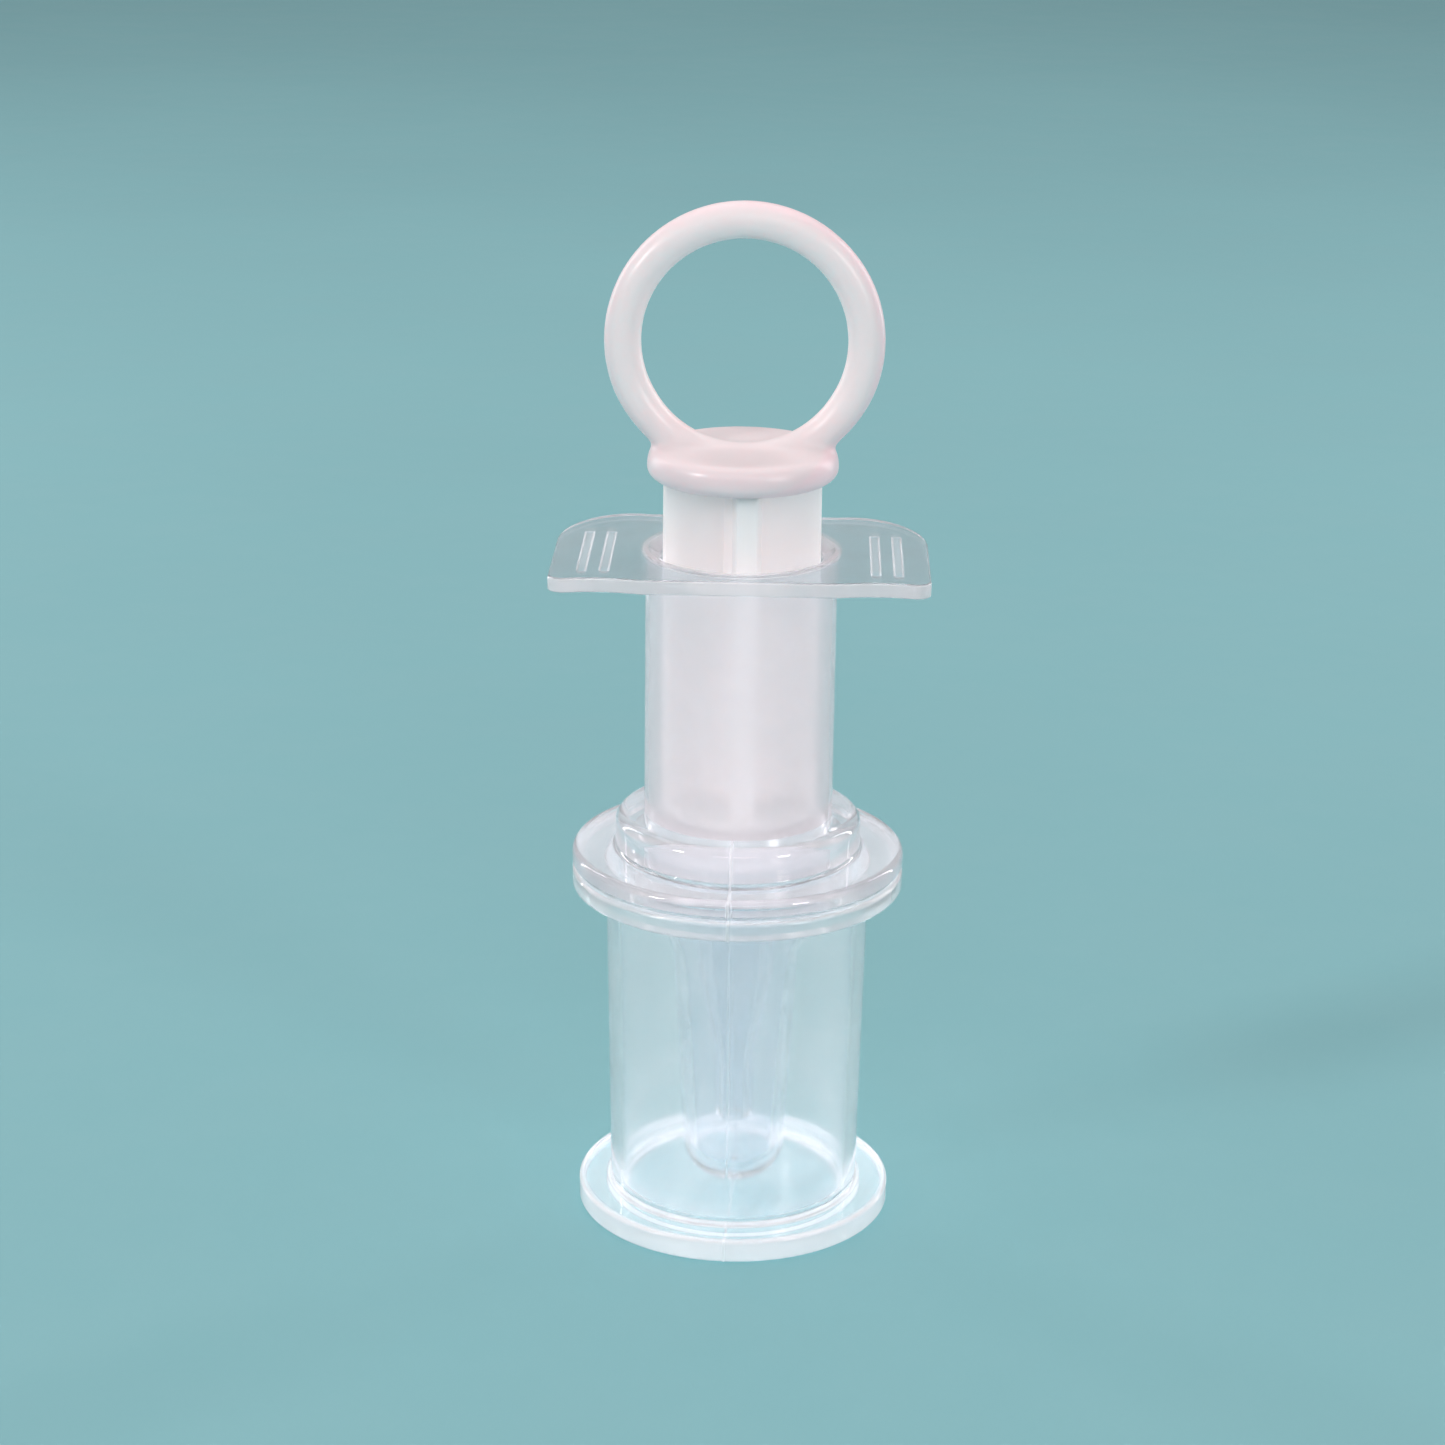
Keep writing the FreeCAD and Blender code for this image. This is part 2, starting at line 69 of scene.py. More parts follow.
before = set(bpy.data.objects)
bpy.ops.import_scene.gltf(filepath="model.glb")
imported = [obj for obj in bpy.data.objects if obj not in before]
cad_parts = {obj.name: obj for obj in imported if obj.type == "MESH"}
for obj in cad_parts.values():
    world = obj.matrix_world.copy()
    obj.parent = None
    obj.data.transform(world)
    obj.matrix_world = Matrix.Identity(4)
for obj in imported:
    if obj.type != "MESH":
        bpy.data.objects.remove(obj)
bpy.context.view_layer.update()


# ---------------------------------------------------------------- outlines

def eased(corners, closed=False):
    """Points of an outline whose (across, up, rounding) corners are eased by arcs."""
    points = []
    count = len(corners)
    for index, (across, up, radius) in enumerate(corners):
        corner = Vector((across, up))
        at_end = not closed and index in (0, count - 1)
        if radius <= 0 or at_end:
            points.append(corner)
            continue
        before = Vector(corners[index - 1][:2]) - corner
        after = Vector(corners[(index + 1) % count][:2]) - corner
        half = before.angle(after) / 2
        reach = radius / math.tan(half)
        start = corner + before.normalized() * reach
        finish = corner + after.normalized() * reach
        bisector = (before.normalized() + after.normalized()).normalized()
        centre = corner + bisector * (radius / math.sin(half))
        sweep = math.pi - 2 * half
        steps = max(2, math.ceil(sweep / ARC_STEP))
        first = start - centre
        turn = 1 if first.cross(finish - centre) > 0 else -1
        for step in range(steps + 1):
            angle = turn * sweep * step / steps
            cos, sin = math.cos(angle), math.sin(angle)
            spoke = Vector((first.x * cos - first.y * sin, first.x * sin + first.y * cos))
            points.append(centre + spoke)
    return points


def outward_normals(points):
    """Unit normals of an outline run anticlockwise in (across, up), pointing away from it."""
    normals = []
    for index, point in enumerate(points):
        before = points[max(index - 1, 0)]
        after = points[min(index + 1, len(points) - 1)]
        along = (after - before).normalized()
        normals.append(Vector((along.y, -along.x)))
    return normals


# ---------------------------------------------------------------- meshes

def add_object(name, data):
    """Link a new object for a mesh, a camera or a light."""
    obj = bpy.data.objects.new(name, data)
    bpy.context.scene.collection.objects.link(obj)
    return obj


def finish_mesh(name, bm):
    """Make an object of a closed mesh, with its faces outwards."""
    bmesh.ops.recalc_face_normals(bm, faces=bm.faces)
    mesh = bpy.data.meshes.new(name)
    bm.to_mesh(mesh)
    bm.free()
    return add_object(name, mesh)


def seam_lift(angle, seams):
    """Height of the seams' rounded ridges at an angle about the axis."""
    lift = 0.0
    for seam in seams:
        off = (angle - seam + math.pi) % (2 * math.pi) - math.pi
        if abs(off) < SEAM_HALF_ANGLE:
            lift = SEAM_HEIGHT * math.cos(off / SEAM_HALF_ANGLE * math.pi / 2) ** 2
    return lift


def lathe(name, outside, inside=(), seams=()):
    """Turn a closed outline about Z. Both runs go from the bottom of the piece up.

    outside and inside are (radius, height) points. seams are the angles of mould seams,
    low ridges on the upright faces of the outside run.
    """
    ring_angles = [2 * math.pi * k / LATHE_COLUMNS for k in range(LATHE_COLUMNS)]
    for seam in seams:
        for part in (-1, -0.5, 0, 0.5, 1):
            ring_angles.append((seam + part * SEAM_HALF_ANGLE) % (2 * math.pi))
    ring_angles = sorted(set(ring_angles))
    outline = list(outside) + list(reversed(list(inside)))
    normals = outward_normals(outline)
    bm = bmesh.new()
    rows = []
    for index, (point, normal) in enumerate(zip(outline, normals)):
        if point.x < 1e-7:
            rows.append([bm.verts.new((0, 0, point.y))])
            continue
        has_seams = index < len(outside) and normal.x > SEAM_FACE_SHARE
        row = []
        for angle in ring_angles:
            lift = seam_lift(angle, seams) if has_seams else 0.0
            radius = point.x + normal.x * lift
            height = point.y + normal.y * lift
            row.append(bm.verts.new((radius * math.cos(angle), radius * math.sin(angle), height)))
        rows.append(row)
    closed = rows if len(rows[0]) == 1 and len(rows[-1]) == 1 else rows + [rows[0]]
    for lower, upper in zip(closed, closed[1:]):
        if len(lower) == 1 and len(upper) == 1:
            continue
        count = max(len(lower), len(upper))
        for k in range(count):
            n = (k + 1) % count
            if len(lower) == 1:
                bm.faces.new((lower[0], upper[n], upper[k]))
            elif len(upper) == 1:
                bm.faces.new((lower[k], lower[n], upper[0]))
            else:
                bm.faces.new((lower[k], lower[n], upper[n], upper[k]))
    return finish_mesh(name, bm)


def apply_modifiers(obj):
    """Replace the object's mesh with its evaluated mesh."""
    depsgraph = bpy.context.evaluated_depsgraph_get()
    mesh = bpy.data.meshes.new_from_object(obj.evaluated_get(depsgraph))
    old = obj.data
    obj.modifiers.clear()
    obj.data = mesh
    bpy.data.meshes.remove(old)


def combine(target, other, operation):
    """Join another closed mesh to the target, or cut it away, and remove the other."""
    modifier = target.modifiers.new("combine", "BOOLEAN")
    modifier.object = other
    modifier.operation = operation
    modifier.solver = "EXACT"
    apply_modifiers(target)
    bpy.data.objects.remove(other)


def smooth(obj):
    """Smooth shading that keeps flat faces flat and hard corners hard."""
    obj.data.shade_smooth()
    obj.data.set_sharp_from_angle(angle=HARD_CORNER)
    modifier = obj.modifiers.new("flat faces stay flat", "WEIGHTED_NORMAL")
    modifier.keep_sharp = True
    modifier.weight = FLAT_FACE_WEIGHT
    apply_modifiers(obj)


def dress(obj, body, node, material):
    """Put a finished piece on its body, in place of its CAD node, with its material."""
    obj.data.materials.clear()
    obj.data.materials.append(material)
    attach(obj, body)
    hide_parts(node)


# ---------------------------------------------------------------- materials

class Recipe:
    """A node material with a Principled shader and a few helpers."""

    def __init__(self, name):
        self.material = bpy.data.materials.new(name)
        self.material.use_nodes = True
        self.nodes = self.material.node_tree.nodes
        self.links = self.material.node_tree.links
        self.shader = self.nodes["Principled BSDF"]
        self.coordinates = self.nodes.new("ShaderNodeTexCoord").outputs["Object"]

    def feed(self, socket, value):
        """Link a socket or set a plain value."""
        if isinstance(value, bpy.types.NodeSocket):
            self.links.new(value, socket)
        else:
            socket.default_value = value

    def noise(self, scale, detail=3.0):
        node = self.nodes.new("ShaderNodeTexNoise")
        node.inputs["Scale"].default_value = scale
        node.inputs["Detail"].default_value = detail
        node.inputs["Roughness"].default_value = 0.55
        self.links.new(self.coordinates, node.inputs["Vector"])
        return node.outputs["Fac"]

    def ramp(self, source, start, end, low=0.0, high=1.0):
        """A smooth step of the source from start to end, giving low to high."""
        node = self.nodes.new("ShaderNodeMapRange")
        node.interpolation_type = "SMOOTHSTEP"
        values = {"From Min": start, "From Max": end, "To Min": low, "To Max": high}
        for name, value in values.items():
            node.inputs[name].default_value = value
        self.links.new(source, node.inputs["Value"])
        return node.outputs["Result"]

    def mottle(self, scale, low, high, detail=3.0):
        """A value that wanders between low and high. The noise seldom leaves 0.3 to 0.7."""
        return self.ramp(self.noise(scale, detail), 0.3, 0.7, low, high)

    def math(self, operation, first, second=0.0):
        node = self.nodes.new("ShaderNodeMath")
        node.operation = operation
        self.feed(node.inputs[0], first)
        self.feed(node.inputs[1], second)
        return node.outputs[0]

    def product(self, *factors):
        result = factors[0]
        for factor in factors[1:]:
            result = self.math("MULTIPLY", result, factor)
        return result

    def total(self, *shares):
        """Masks added up, each times its amount."""
        result = 0.0
        for mask, amount in shares:
            result = self.math("ADD", result, self.product(mask, amount))
        return result

    def most(self, *shares):
        """The highest of some masks, each times its amount."""
        result = 0.0
        for mask, amount in shares:
            result = self.math("MAXIMUM", result, self.product(mask, amount))
        return result

    def axis(self, name):
        """The object's own X, Y or Z, in metres."""
        node = self.nodes.new("ShaderNodeSeparateXYZ")
        self.links.new(self.coordinates, node.inputs[0])
        return node.outputs[name]

    def distance(self, first, second):
        """Distance from an axis, from two coordinates measured from it."""
        squares = self.math("ADD", self.math("POWER", first, 2.0), self.math("POWER", second, 2.0))
        return self.math("SQRT", squares)

    def upright(self):
        """1 on upright faces and 0 on level ones."""
        split = self.nodes.new("ShaderNodeSeparateXYZ")
        normal = self.nodes.new("ShaderNodeNewGeometry").outputs["True Normal"]
        self.links.new(normal, split.inputs[0])
        return self.ramp(self.math("ABSOLUTE", split.outputs["Z"]), 0.8, 0.4)

    def blend(self, factor, first, second):
        node = self.nodes.new("ShaderNodeMix")
        node.data_type = "RGBA"
        self.links.new(factor, node.inputs["Factor"])
        for socket, value in ((node.inputs[6], first), (node.inputs[7], second)):
            self.feed(socket, value + (1.0,) if isinstance(value, tuple) else value)
        return node.outputs[2]

    def tint(self, scale, first, second):
        """A colour that wanders between two."""
        return self.blend(self.mottle(scale, 0, 1), first, second)

    def seam(self):
        """1 along the mould seams, which lie in an upright plane through the axis."""
        lean = self.product(self.axis("Y"), 1 / math.tan(SEAM_ANGLE))
        off = self.math("ABSOLUTE", self.math("SUBTRACT", self.axis("X"), lean))
        return self.ramp(off, 0.24 * MM, 0.1 * MM)

    def ribs(self, across, along):
        """1 over the wings' grip ribs, either side of the axis."""
        bands = 0.0
        for place in RIB_PLACES:
            off = self.math("ABSOLUTE", self.math("SUBTRACT", self.math("ABSOLUTE", across), place))
            bands = self.math("ADD", bands, self.ramp(off, RIB_WIDTH * 0.6, RIB_WIDTH * 0.45))
        behind_front = self.ramp(along, RIB_FRONT - 0.2 * MM, RIB_FRONT + 0.4 * MM)
        before_back = self.ramp(along, RIB_BACK + 0.2 * MM, RIB_BACK - 0.4 * MM)
        return self.product(bands, behind_front, before_back)

    def bump(self, source, distance, strength):
        node = self.nodes.new("ShaderNodeBump")
        node.inputs["Distance"].default_value = distance
        node.inputs["Strength"].default_value = strength
        self.links.new(source, node.inputs["Height"])
        return node.outputs["Normal"]

    def set(self, **values):
        for name, value in values.items():
            self.feed(self.shader.inputs[name.replace("_", " ")], value)

    def pass_light(self, tint):
        """Let lamps light what lies behind the clear wall."""
        path = self.nodes.new("ShaderNodeLightPath")
        through = self.nodes.new("ShaderNodeBsdfTransparent")
        through.inputs["Color"].default_value = (tint, tint, tint, 1)
        mix = self.nodes.new("ShaderNodeMixShader")
        self.links.new(path.outputs["Is Shadow Ray"], mix.inputs[0])
        self.links.new(self.shader.outputs[0], mix.inputs[1])
        self.links.new(through.outputs[0], mix.inputs[2])
        self.links.new(mix.outputs[0], self.nodes["Material Output"].inputs["Surface"])


def cup_plastic():
    """Natural polypropylene: hazy walls, and a clearer foot and flange with milky rims."""
    made = Recipe("cup_polypropylene")
    height = made.axis("Z")
    radius = made.distance(made.axis("X"), made.axis("Y"))
    flange_low = cup_flange_low()
    foot = made.ramp(height, CUP_BASE_TOP + 0.5 * MM, CUP_BASE_TOP - 0.3 * MM)
    flange = made.ramp(height, flange_low - 0.45 * MM, flange_low + 0.15 * MM)
    rim = made.ramp(radius, CUP_BASE_R - 1.1 * MM, CUP_BASE_R - 0.1 * MM)
    past_wall = made.ramp(radius, CUP_FOOT_R - 2.45 * MM, CUP_FOOT_R + 0.55 * MM)
    wall_corner = made.product(
        made.ramp(radius, CUP_FOOT_R - 0.55 * MM, CUP_FOOT_R - 0.25 * MM),
        made.ramp(radius, CUP_FOOT_R + 0.75 * MM, CUP_FOOT_R + 0.25 * MM),
        made.ramp(height, CUP_BASE_TOP + 1.0 * MM, CUP_BASE_TOP + 0.4 * MM),
    )
    seam = made.product(made.seam(), made.math("MAXIMUM", foot, flange))
    rim_milk = 0.2
    foot_rim_milk = 0.32
    foot_milk = 0.08
    corner_milk = 0.4
    seam_milk = 0.15
    milk = made.total(
        (rim, rim_milk),
        (made.product(rim, foot), foot_rim_milk),
        (made.product(foot, past_wall), foot_milk),
        (wall_corner, corner_milk),
        (seam, seam_milk),
    )
    smoother_foot = made.ramp(height, CUP_BASE_TOP + 0.1 * MM, CUP_BASE_TOP + 3.1 * MM, 0.25, 1.0)
    wall_tint = made.tint(110, (0.945, 0.96, 0.975), (0.92, 0.94, 0.955))
    foot_tint = made.tint(110, (0.95, 0.975, 1.0), (0.92, 0.955, 0.985))
    made.set(
        Base_Color=made.blend(foot, wall_tint, foot_tint),
        Roughness=made.product(made.mottle(120, 0.09, 0.12, detail=2), smoother_foot),
        Transmission_Weight=made.math("SUBTRACT", made.mottle(70, 0.88, 0.915), milk),
        Normal=made.bump(made.noise(110, detail=1), distance=0.04 * MM, strength=0.2),
        IOR=POLYPROPYLENE_IOR,
    )
    made.pass_light(0.99)
    return made.material


def clear_silicone():
    """Clear silicone rubber: glossy and slightly uneven, cloudy in the thick shield."""
    made = Recipe("clear_silicone")
    thick = made.ramp(made.axis("Z"), 41.0 * MM, 44.0 * MM)
    thick_milk = 0.14
    seam_milk = 0.2
    milk = made.total((thick, thick_milk), (made.product(thick, made.seam()), seam_milk))
    made.set(
        Base_Color=made.tint(90, (0.93, 0.94, 0.965), (0.9, 0.92, 0.95)),
        Roughness=made.mottle(120, 0.02, 0.04, detail=2),
        Transmission_Weight=made.math("SUBTRACT", made.mottle(90, 0.96, 0.99), milk),
        Normal=made.bump(made.noise(110, detail=1), distance=0.05 * MM, strength=0.2),
        IOR=SILICONE_IOR,
    )
    made.pass_light(0.97)
    return made.material


def barrel_plastic():
    """Frosted polypropylene: a milky tube and clearer finger wings. The wings' whiter edges are
    partly frosted cut edges and partly a painted glow of light piped out through the plate.
    """
    made = Recipe("barrel_polypropylene")
    across, along, height = made.axis("X"), made.axis("Y"), made.axis("Z")
    radius = made.distance(across, along)
    wing_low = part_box("barrel")[1].z - WING_THICK
    tube = made.product(
        made.ramp(height, BARREL_END - 1.6 * MM, BARREL_END + 0.4 * MM),
        made.ramp(radius, BARREL_R + 0.7 * MM, BARREL_R + 0.2 * MM),
    )
    # Whiter upright wing edges: partly frosted cut edges, partly a painted glow standing in for
    # light piped out through the plate's edges.
    wing_edge_frost_and_glow = made.product(
        made.upright(),
        made.ramp(radius, BARREL_R + 0.5 * MM, BARREL_R + 1.0 * MM),
        made.ramp(height, wing_low - 0.3 * MM, wing_low - 0.1 * MM),
    )
    tube_milk = 0.3
    edge_frost_and_glow_milk = 0.5
    rib_milk = 0.16
    milk = made.most((tube, tube_milk), (wing_edge_frost_and_glow, edge_frost_and_glow_milk), (made.ribs(across, along), rib_milk))
    wing_tint = made.tint(120, (0.82, 0.88, 0.91), (0.79, 0.86, 0.89))
    tube_tint = made.tint(120, (0.88, 0.86, 0.88), (0.85, 0.84, 0.86))
    made.set(
        Base_Color=made.blend(made.math("MAXIMUM", tube, wing_edge_frost_and_glow), wing_tint, tube_tint),
        Roughness=made.mottle(120, 0.12, 0.17, detail=2),
        Transmission_Weight=made.math("SUBTRACT", made.mottle(80, 0.94, 0.965), milk),
        Normal=made.bump(made.noise(110, detail=2), distance=0.04 * MM, strength=0.3),
        IOR=POLYPROPYLENE_IOR,
    )
    made.pass_light(0.95)
    return made.material


def seal_silicone():
    """The soft seal: cloudy silicone."""
    made = Recipe("seal_silicone")
    made.set(
        Base_Color=made.tint(150, (0.9, 0.9, 0.92), (0.86, 0.87, 0.89)),
        Roughness=made.mottle(120, 0.25, 0.35),
        Transmission_Weight=made.mottle(90, 0.3, 0.4),
        Normal=made.bump(made.noise(120, detail=2), distance=0.04 * MM, strength=0.3),
        IOR=SILICONE_IOR,
    )
    made.pass_light(0.5)
    return made.material


def rod_plastic():
    """White polypropylene that light sinks into a little way."""
    made = Recipe("white_polypropylene")
    made.set(
        Base_Color=made.tint(60, (0.9, 0.865, 0.865), (0.93, 0.895, 0.895)),
        Roughness=made.mottle(120, 0.46, 0.56, detail=2),
        Normal=made.bump(made.noise(120, detail=2), distance=0.04 * MM, strength=0.3),
        Subsurface_Weight=1.0,
        Subsurface_Radius=(1.0, 0.9, 0.85),
        Subsurface_Scale=5.0 * MM,
        Specular_IOR_Level=0.2,
        IOR=POLYPROPYLENE_IOR,
    )
    return made.material


def ring_plastic():
    """Milky pink polypropylene with painted shade: a deeper pink round the ring's rim and on its
    right side, away from the key lamp, and a darker, pinker cap under the ring.
    """
    made = Recipe("pink_polypropylene")
    across, along, height = made.axis("X"), made.axis("Y"), made.axis("Z")
    from_centre = made.distance(across, made.math("SUBTRACT", height, RING_CENTRE_Z))
    # Painted shade: the rim and the right side, away from the key lamp, are painted a deeper pink.
    rim = made.ramp(from_centre, RING_R + 0.9 * MM, RING_R + RING_TUBE_R)
    side = made.ramp(across, -14 * MM, 16 * MM, 0.35, 1.0)
    # Painted shade: the cap under the ring is painted pinker, as if in the ring's shadow.
    cap = made.ramp(height, 98.5 * MM, 96.0 * MM)
    cap_painted_shade_share = 0.35
    pink_painted_shade = made.math("MAXIMUM", made.product(rim, side), made.product(cap, cap_painted_shade_share))
    pink_painted_shade = made.product(pink_painted_shade, made.mottle(40, 0.8, 1.0))
    parting_line = made.product(
        made.ramp(made.math("ABSOLUTE", along), 0.22 * MM, 0.06 * MM),
        made.ramp(from_centre, RING_R + 0.3 * MM, RING_R + 0.9 * MM),
    )
    # Painted shade: the cap is painted a darker pale than the ring above it.
    shaded_cap_to_ring = made.ramp(height, 98.0 * MM, 104.0 * MM)
    pale = made.blend(shaded_cap_to_ring, (0.83, 0.77, 0.78), (0.96, 0.845, 0.85))
    relief = made.math("ADD", parting_line, made.noise(120, detail=1))
    made.set(
        Base_Color=made.blend(pink_painted_shade, pale, (0.95, 0.73, 0.77)),
        Roughness=made.mottle(120, 0.28, 0.36, detail=2),
        Normal=made.bump(relief, distance=0.04 * MM, strength=0.4),
        Subsurface_Weight=1.0,
        Subsurface_Radius=(1.0, 0.8, 0.8),
        Subsurface_Scale=1.3 * MM,
        IOR=POLYPROPYLENE_IOR,
    )
    return made.material


# ---------------------------------------------------------------- cover cup

def cup_flange_low():
    """Underside of the flange round the cup's mouth."""
    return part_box("cover_cup")[1].z - 2.4 * MM


def make_cover_cup():
    """The cup with its foot disc and the flange round its mouth."""
    low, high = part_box("cover_cup")
    flange_r = high.x
    flange_low = cup_flange_low()
    mouth_r = 16.15 * MM
    wall = 1.5 * MM
    floor = 2.6 * MM
    edge = 0.5 * MM
    corner = 0.25 * MM
    outside = eased([
        (0, low.z, 0),
        (CUP_BASE_R, low.z, edge),
        (CUP_BASE_R, CUP_BASE_TOP, edge),
        (CUP_FOOT_R, CUP_BASE_TOP, corner),
        (mouth_r, flange_low, corner),
        (flange_r, flange_low, edge),
        (flange_r, high.z, edge),
        (mouth_r - wall / 2, high.z, 0),
    ])
    inside = eased([
        (0, floor, 0),
        (CUP_FOOT_R - wall, floor, 1.6 * MM),
        (mouth_r - wall, high.z, corner),
        (mouth_r - wall / 2, high.z, 0),
    ])
    cup = lathe("cup_shell", outside, inside[:-1], SEAMS)
    smooth(cup)
    dress(cup, "cover", "cover_cup", cup_plastic())


# ---------------------------------------------------------------- nipple

def make_nipple():
    """Collar, mouth shield and hollow teat in one moulding."""
    low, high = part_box("nipple")
    brim_r = high.x
    brim_low = 45.0 * MM
    brim_top = brim_low + 2.6 * MM
    collar_r = 15.0 * MM
    socket_r = 11.55 * MM
    socket_floor = 46.0 * MM
    register_low = brim_low - 1.5 * MM
    register_r = 14.5 * MM
    throat_r = 12.9 * MM
    neck_r = 7.75 * MM
    neck_z = 34.5 * MM
    tip_r = 5.95 * MM
    wall = 1.45 * MM
    chamber_z = low.z + 1.9 * MM
    chamber_r = 9.4 * MM
    hole_r = 0.6 * MM
    flare = 9.0 * MM
    brim_edge = 0.9 * MM
    step_edge = 0.3 * MM
    outside = eased([
        (hole_r, low.z, 0),
        (tip_r, low.z, 4.6 * MM),
        (neck_r, neck_z, flare),
        (throat_r, register_low, 0),
        (register_r, register_low, 0),
        (register_r, brim_low, 0),
        (brim_r, brim_low, brim_edge),
        (brim_r, brim_top, brim_edge),
        (collar_r, brim_top, 0.6 * MM),
        (collar_r, high.z, 1.5 * MM),
        (socket_r, high.z, 0),
    ])
    inside = eased([
        (hole_r, chamber_z, 0),
        (tip_r - wall, chamber_z, 3.0 * MM),
        (neck_r - wall, neck_z, flare),
        (chamber_r, socket_floor, step_edge),
        (socket_r, socket_floor, step_edge),
        (socket_r, high.z, 0),
    ])
    nipple = lathe("nipple_shell", outside, inside[:-1], SEAMS)
    smooth(nipple)
    dress(nipple, "nipple", "nipple", clear_silicone())


# ---------------------------------------------------------------- barrel

def wing_bend(across, half_span):
    """Height of the wings' gentle arch at a distance from the axis."""
    if abs(across) <= BARREL_R:
        return 0.0
    part = (abs(across) - BARREL_R) / (half_span - BARREL_R)
    rise = 0.22 * MM
    droop = 0.12 * MM
    return 4 * rise * part * (1 - part) - droop * part ** 2


def rounded_slab(name, outline, low, high, edge):
    """A flat slab with a closed outline and rounded top and bottom edges."""
    bm = bmesh.new()
    normals = []
    count = len(outline)
    for index in range(count):
        along = (outline[(index + 1) % count] - outline[index - 1]).normalized()
        normals.append(Vector((along.y, -along.x)))
    levels = []
    steps = 5
    quarter = [math.pi / 2 * step / steps for step in range(steps + 1)]
    for angle in quarter:
        levels.append((edge * (1 - math.sin(angle)), low + edge * (1 - math.cos(angle))))
    for angle in quarter:
        levels.append((edge * (1 - math.cos(angle)), high - edge * (1 - math.sin(angle))))
    loops = []
    for inset, height in levels:
        loop = []
        for point, normal in zip(outline, normals):
            place = point - normal * inset
            loop.append(bm.verts.new((place.x, place.y, height)))
        loops.append(loop)
    bm.faces.new(list(reversed(loops[0])))
    bm.faces.new(loops[-1])
    for lower, upper in zip(loops, loops[1:]):
        for k in range(count):
            n = (k + 1) % count
            bm.faces.new((lower[k], lower[n], upper[n], upper[k]))
    return finish_mesh(name, bm)


def slice_across(obj, places):
    """Add cross lines to a mesh at the given X, so that it can bend there."""
    bm = bmesh.new()
    bm.from_mesh(obj.data)
    for place in places:
        everything = bm.verts[:] + bm.edges[:] + bm.faces[:]
        bmesh.ops.bisect_plane(bm, geom=everything, plane_co=(place, 0, 0), plane_no=(1, 0, 0))
    bm.to_mesh(obj.data)
    bm.free()


def add_grip_ribs(plate, plate_low):
    """Join the grip ribs to the underside of the finger flange."""
    half = RIB_WIDTH / 2
    corner = 0.4 * MM
    drop = 0.35 * MM
    bury = 0.9 * MM
    for side in (-1, 1):
        for place in RIB_PLACES:
            centre = side * place
            outline = eased([
                (centre - half, RIB_FRONT, corner),
                (centre + half, RIB_FRONT, corner),
                (centre + half, RIB_BACK, corner),
                (centre - half, RIB_BACK, corner),
            ], closed=True)
            rib = rounded_slab("rib", outline, plate_low - drop, plate_low + bury, 0.3 * MM)
            combine(plate, rib, "UNION")


def make_wing_plate(high):
    """The finger flange with its grip ribs, gently arched."""
    half_span, half_depth, top = high
    front = 2.2 * MM
    back = 11.0 * MM
    outline = eased([
        (-half_span, -half_depth, front),
        (half_span, -half_depth, front),
        (half_span, half_depth, back),
        (-half_span, half_depth, back),
    ], closed=True)
    plate_low = top - WING_THICK
    plate = rounded_slab("barrel_shell", outline, plate_low, top, 0.3 * MM)
    add_grip_ribs(plate, plate_low)
    lines = 9
    reach = half_span - BARREL_R
    for side in (-1, 1):
        slice_across(plate, [side * (BARREL_R + reach * k / lines) for k in range(lines)])
    for vertex in plate.data.vertices:
        vertex.co.z += wing_bend(vertex.co.x, half_span)
    return plate


def barrel_bore(low, high, cone_z, neck_z):
    """The hollow of the barrel: nozzle channel, bore, retaining lip and lead-in."""
    beyond = 1 * MM
    channel_r = 1.2 * MM
    channel_root_r = 2.8 * MM
    cone_ease = 3.0 * MM
    floor = 47.5 * MM
    lip_r = 9.8 * MM
    lip_top = high.z - 0.9 * MM
    lip_low = lip_top - 0.5 * MM
    lip_ease = 0.2 * MM
    return lathe("bore", eased([
        (0, low.z - beyond, 0),
        (channel_r, low.z - beyond, 0),
        (channel_r, neck_z, cone_ease),
        (channel_root_r, cone_z, cone_ease),
        (channel_root_r, floor, 0.3 * MM),
        (BORE_R, floor, 0.4 * MM),
        (BORE_R, lip_low - 0.7 * MM, 0.3 * MM),
        (lip_r, lip_low, lip_ease),
        (lip_r, lip_top, lip_ease),
        (11.2 * MM, high.z, 0.15 * MM),
        (11.3 * MM, high.z + beyond, 0),
        (0, high.z + beyond, 0),
    ]))


def make_barrel():
    """Tube, nozzle and finger flange in one moulding."""
    low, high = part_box("barrel")
    barrel = make_wing_plate(high)
    cone_z = 30.5 * MM
    neck_z = 20.0 * MM
    cone_ease = 3.0 * MM
    inside_plate = high.z - WING_THICK / 2
    tube = lathe("tube", eased([
        (0, low.z, 0),
        (2.3 * MM, low.z, 0.3 * MM),
        (2.5 * MM, neck_z, cone_ease),
        (4.4 * MM, cone_z, cone_ease),
        (4.6 * MM, BARREL_END, 0.4 * MM),
        (BARREL_R, BARREL_END, 0.5 * MM),
        (BARREL_R, inside_plate, 0),
        (0, inside_plate, 0),
    ]))
    combine(barrel, tube, "UNION")
    combine(barrel, barrel_bore(low, high, cone_z, neck_z), "DIFFERENCE")
    smooth(barrel)
    dress(barrel, "barrel", "barrel", barrel_plastic())


# ---------------------------------------------------------------- plunger

